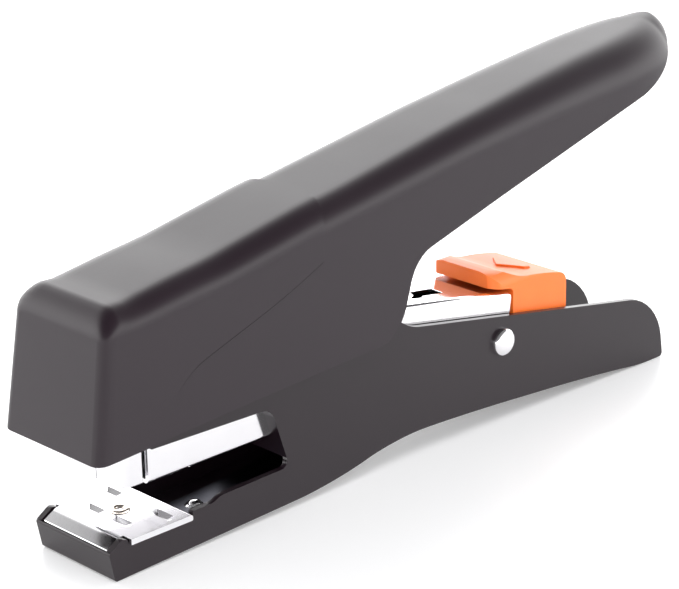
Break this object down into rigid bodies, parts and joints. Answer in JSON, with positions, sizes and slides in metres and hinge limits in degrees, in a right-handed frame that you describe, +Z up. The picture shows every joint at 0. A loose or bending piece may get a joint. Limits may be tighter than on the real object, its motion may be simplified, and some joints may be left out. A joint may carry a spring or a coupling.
{
  "type": "hand plier stapler",
  "caption": "Squeeze-grip plier stapler: black steel base with bright anvil, hinged black handle, bright magazine and lever arm, orange release button.",
  "frame": {"origin": "middle of the object's box on the surface it stands on", "axes": "+X from the jaw to the back of the handle, +Y across, +Z up"},
  "size_m": [0.1603, 0.0276, 0.073],
  "materials": {
    "black_paint": "satin",
    "black_shell": "satin, fine grained",
    "black_block": "moulded",
    "chrome": "bright plated",
    "nickel_eyelet": "bright",
    "zinc_steel": "zinc plated",
    "spring_steel": "drawn wire and strip",
    "blued_spring": "blued spring strip",
    "staple_wire": "galvanised wire",
    "orange_button": "satin moulded"
  },
  "bodies": {
    "base": {"base_channel": "black_paint", "anvil_plate": "chrome", "anvil_eyelet": "nickel_eyelet", "floor_rivet": "chrome", "rear_rivet_left": "chrome", "rear_rivet_right": "chrome", "pivot_stud_left": "zinc_steel", "pivot_stud_right": "zinc_steel", "lift_spring": "blued_spring"},
    "handle": {"handle_shell": "black_shell", "nose_cap": "black_shell", "handle_bracket": "zinc_steel", "roller_pin": "zinc_steel", "cap_screw_front": "zinc_steel", "cap_screw_rear": "zinc_steel"},
    "roller": {"press_roller": "zinc_steel"},
    "driver": {"driver_arm": "chrome", "driver_blade": "spring_steel", "blade_rivet_left": "zinc_steel", "blade_rivet_right": "zinc_steel", "return_spring": "spring_steel"},
    "magazine": {"magazine_channel": "chrome", "front_guard": "chrome", "staple_strip": "staple_wire"},
    "drawer": {"staple_rail": "zinc_steel", "pusher_rod": "zinc_steel", "pusher_spring": "spring_steel", "drawer_block": "black_block", "button_pin": "zinc_steel", "button_spring": "spring_steel"},
    "pusher": {"staple_pusher": "zinc_steel"},
    "button": {"release_button": "orange_button"}
  },
  "joints": [
    {"name": "handle_press", "type": "hinge", "parent": "base", "child": "handle", "pos_m": [-0.06255, 0, 0.032], "axis": [0, 1, 0], "range_deg": [0, 15.5], "stiffness_Nm_per_rad": 2, "springref_deg": -20.05},
    {"name": "roller_spin", "type": "hinge", "parent": "handle", "child": "roller", "pos_m": [-0.03355, 0, 0.03985], "axis": [0, 1, 0], "continuous": true},
    {"name": "driver_drop", "type": "hinge", "parent": "base", "child": "driver", "pos_m": [0.02435, 0, 0.0174], "axis": [0, 1, 0], "range_deg": [-8.1, 0], "deforming": ["return_spring"]},
    {"name": "magazine_drop", "type": "hinge", "parent": "base", "child": "magazine", "pos_m": [0.02435, 0, 0.0174], "axis": [0, 1, 0], "range_deg": [-3.95, 0], "deforming": ["lift_spring"]},
    {"name": "drawer_slide", "type": "slide", "parent": "magazine", "child": "drawer", "axis": [1, 0, 0], "range_m": [0, 0.034]},
    {"name": "pusher_slide", "type": "slide", "parent": "drawer", "child": "pusher", "axis": [1, 0, 0], "range_m": [0, 0.02], "stiffness_N_per_m": 60, "springref_m": -0.03, "deforming": ["pusher_spring"]},
    {"name": "button_press", "type": "hinge", "parent": "drawer", "child": "button", "pos_m": [0.03745, 0, 0.0182], "axis": [0, -1, 0], "range_deg": [0, 2.5], "stiffness_Nm_per_rad": 0.3, "springref_deg": -8.59, "deforming": ["button_spring"]}
  ],
  "couplings": [
    {"joint": "driver_drop", "follows": "handle_press", "ratio": -0.52},
    {"joint": "magazine_drop", "follows": "handle_press", "ratio": -0.2516}
  ]
}
